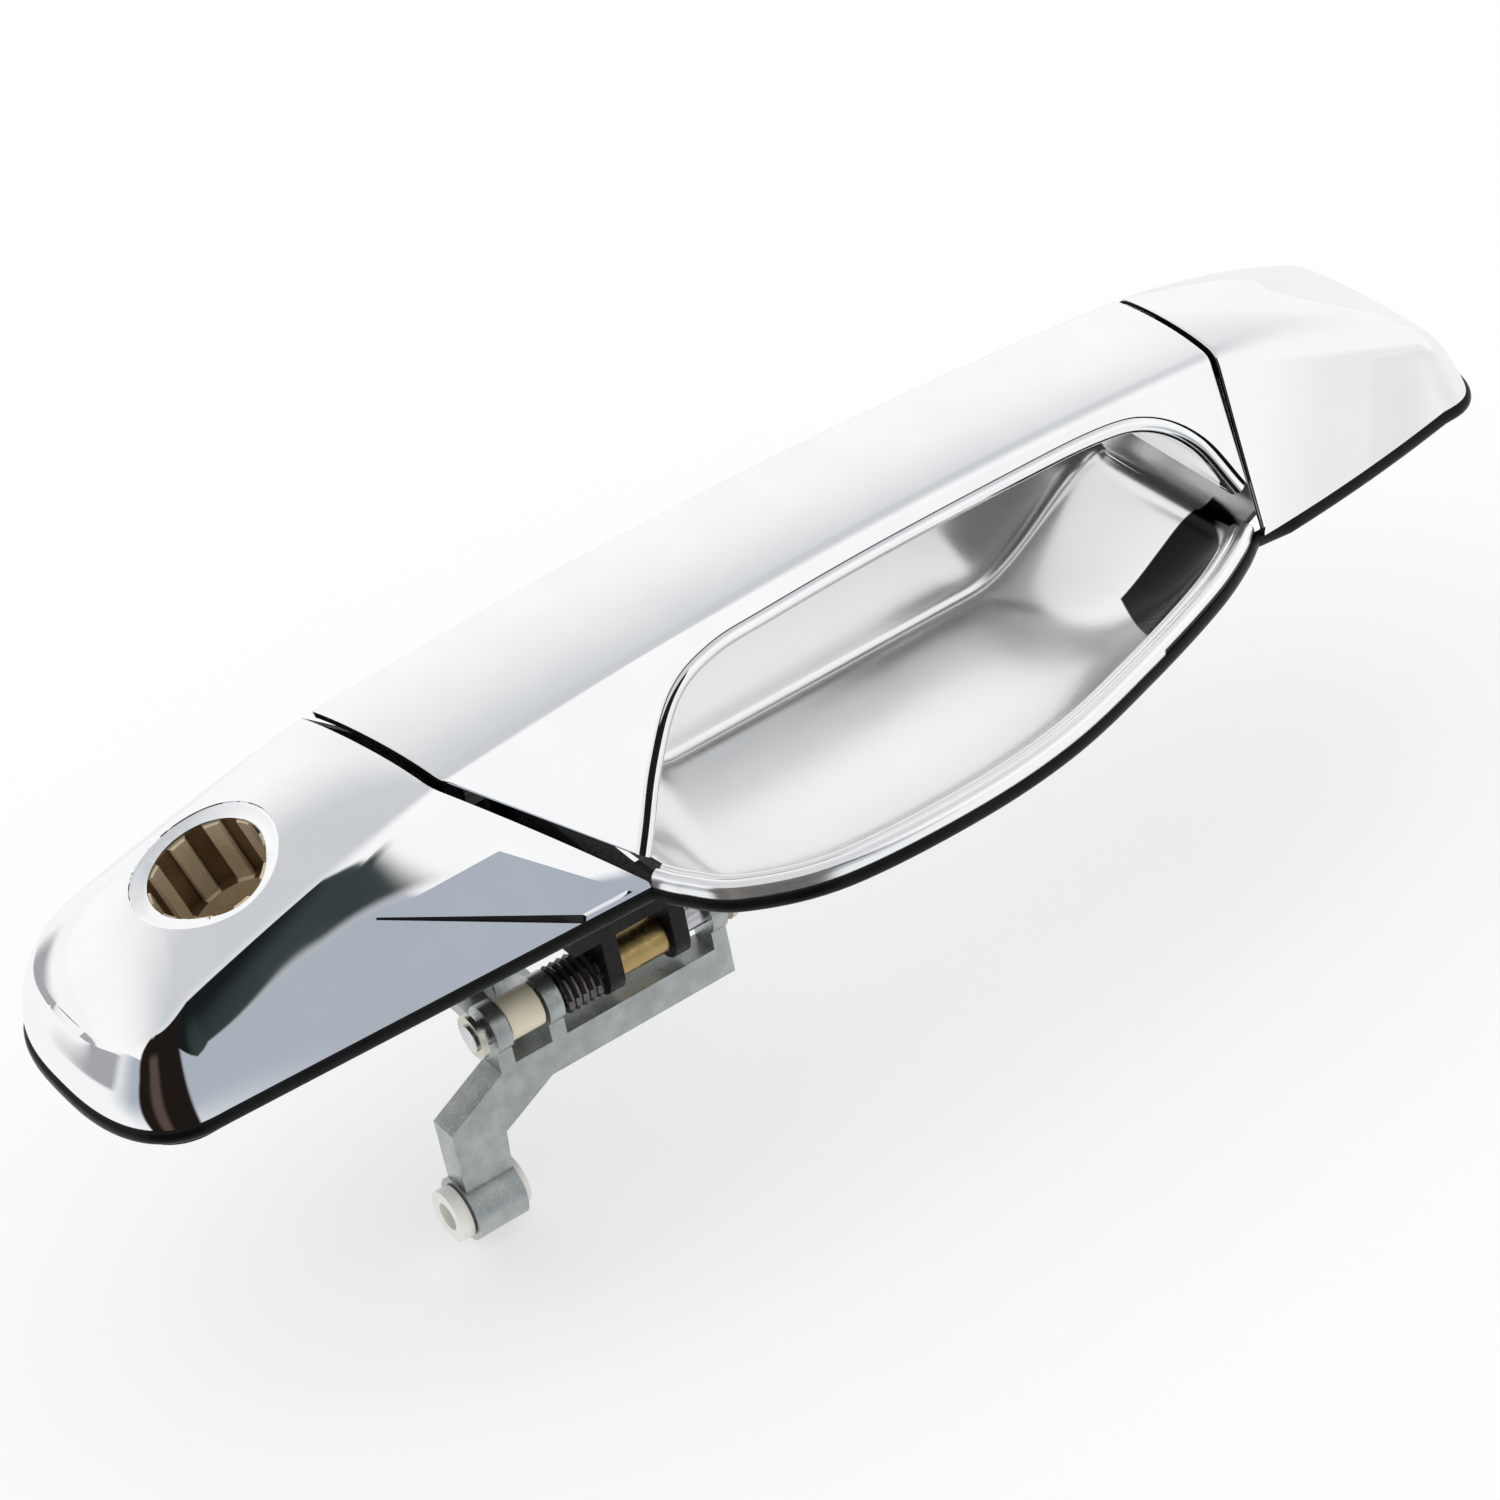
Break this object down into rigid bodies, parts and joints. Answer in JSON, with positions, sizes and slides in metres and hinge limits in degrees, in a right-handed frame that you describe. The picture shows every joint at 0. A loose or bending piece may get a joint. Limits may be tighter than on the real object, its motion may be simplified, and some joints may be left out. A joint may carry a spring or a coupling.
{
  "type": "car door handle",
  "caption": "Chrome exterior pull handle for a car door: key cap with lock opening, hinged strap over a finger cup, gasket, and a bell crank with a rod clip behind",
  "frame": {"origin": "centre of the door face, on the back of the gasket, under the middle of the handle", "axes": "X along the handle toward the fixed cap, Y up on the car, Z out of the door"},
  "size_m": [0.2852, 0.0796, 0.0987],
  "materials": {
    "key_cap": "mirror polished",
    "lock_sleeve": "dull cast",
    "strap_cover": "mirror polished",
    "strap_liner": "mirror polished",
    "bezel_housing": "mirror polished",
    "door_gasket": "satin",
    "chassis_frame": "matte",
    "hinge_bracket": "matte",
    "carrier_rail": "zinc plated",
    "strap_core": "matte",
    "strap_pivot_pin": "ground",
    "pivot_bushes": "matte",
    "pull_leg": "cast",
    "leg_guide": "matte",
    "strap_bumpers": "matte",
    "bell_crank": "cast, satin",
    "crank_pin": "ground",
    "crank_bush_white": "matte",
    "crank_bush_brass": "turned",
    "return_spring": "drawn",
    "rod_clip": "matte",
    "pin_retainers": "zinc plated",
    "mounting_studs": "zinc plated",
    "cap_screws": "zinc plated",
    "housing_screws": "zinc plated",
    "strap_screws": "zinc plated"
  },
  "bodies": {
    "base": {"key_cap": "key_cap", "lock_sleeve": "lock_sleeve", "bezel_housing": "bezel_housing", "door_gasket": "door_gasket", "chassis_frame": "chassis_frame", "hinge_bracket": "hinge_bracket", "carrier_rail": "carrier_rail", "strap_pivot_pin": "strap_pivot_pin", "leg_guide": "leg_guide", "strap_bumpers": "strap_bumpers", "crank_pin": "crank_pin", "crank_bush_white": "crank_bush_white", "crank_bush_brass": "crank_bush_brass", "pin_retainers": "pin_retainers", "mounting_studs": "mounting_studs", "cap_screws": "cap_screws", "housing_screws": "housing_screws"},
    "strap": {"strap_cover": "strap_cover", "strap_liner": "strap_liner", "strap_core": "strap_core", "pivot_bushes": "pivot_bushes", "pull_leg": "pull_leg", "strap_screws": "strap_screws"},
    "crank": {"bell_crank": "bell_crank", "return_spring": "return_spring"},
    "clip": {"rod_clip": "rod_clip"}
  },
  "joints": [
    {"name": "strap_hinge", "type": "hinge", "parent": "base", "child": "strap", "pos_m": [0.098, 0, 0.025], "axis": [0, 1, 0], "range_deg": [0, 5.5], "stiffness_Nm_per_rad": 0.4},
    {"name": "crank_pivot", "type": "hinge", "parent": "base", "child": "crank", "pos_m": [-0.05, -0.01, -0.023], "axis": [1, 0, 0], "range_deg": [0, 44.49]},
    {"name": "clip_turn", "type": "hinge", "parent": "crank", "child": "clip", "pos_m": [-0.0792, -0.01, -0.0554], "axis": [1, 0, 0], "range_deg": [-60, 60]}
  ],
  "couplings": [
    {"joint": "crank_pivot", "follows": "strap_hinge", "ratio": 8.09}
  ]
}
